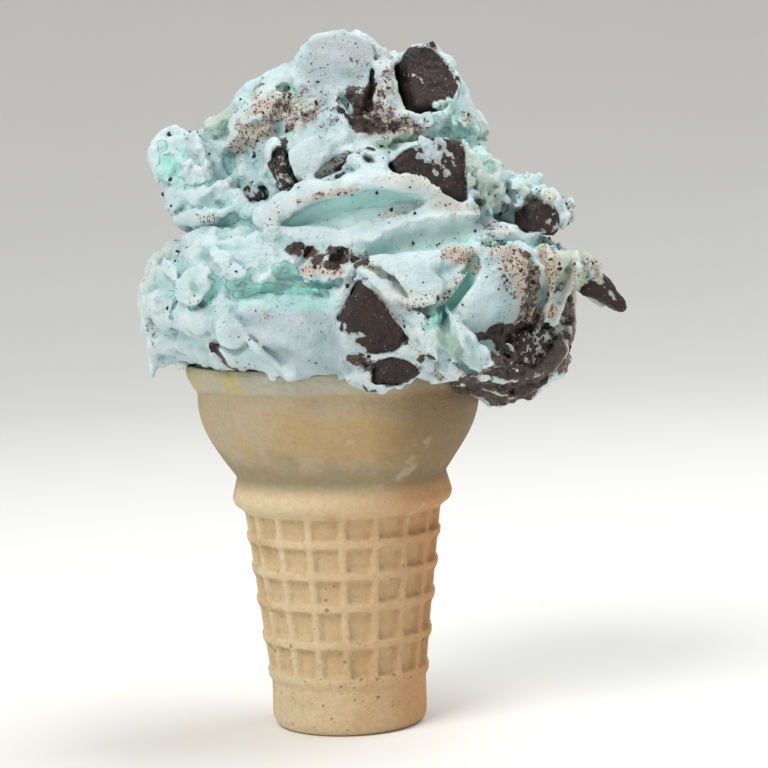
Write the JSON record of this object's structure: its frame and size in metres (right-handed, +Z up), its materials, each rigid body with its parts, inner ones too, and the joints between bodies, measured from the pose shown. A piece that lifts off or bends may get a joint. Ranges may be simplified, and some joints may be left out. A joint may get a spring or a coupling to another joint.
{
  "type": "ice cream cone",
  "caption": "Mint ice cream with broken chocolate cookies, heaped in scoops on a flat-bottomed wafer cup with a ribbed grid shaft, collar, round bowl and flared lip.",
  "frame": {"origin": "middle of the wafer cup's flat foot, on the surface that it stands on", "axes": "+Z up along the cup's axis, -Y towards the side shown, +X to that side's right"},
  "size_m": [0.1047, 0.083, 0.1517],
  "materials": {
    "wafer": "dry baked wafer, matt and finely pitted",
    "mint_ice_cream": "soft frozen cream, satin, speckled with cookie dust",
    "chocolate_cookie": "dry granular cookie with sugar glints"
  },
  "bodies": {
    "root": {"wafer_cup": "wafer", "scoop_lower": "mint_ice_cream", "scoop_upper": "mint_ice_cream", "cookie_bottom": "chocolate_cookie", "cookie_front": "chocolate_cookie", "cookie_knob": "chocolate_cookie", "cookie_middle": "chocolate_cookie", "cookie_right": "chocolate_cookie", "cookie_slab": "chocolate_cookie", "cookie_sliver": "chocolate_cookie", "cookie_spike": "chocolate_cookie", "cookie_top": "chocolate_cookie", "cookie_wedge": "chocolate_cookie"}
  },
  "joints": []
}
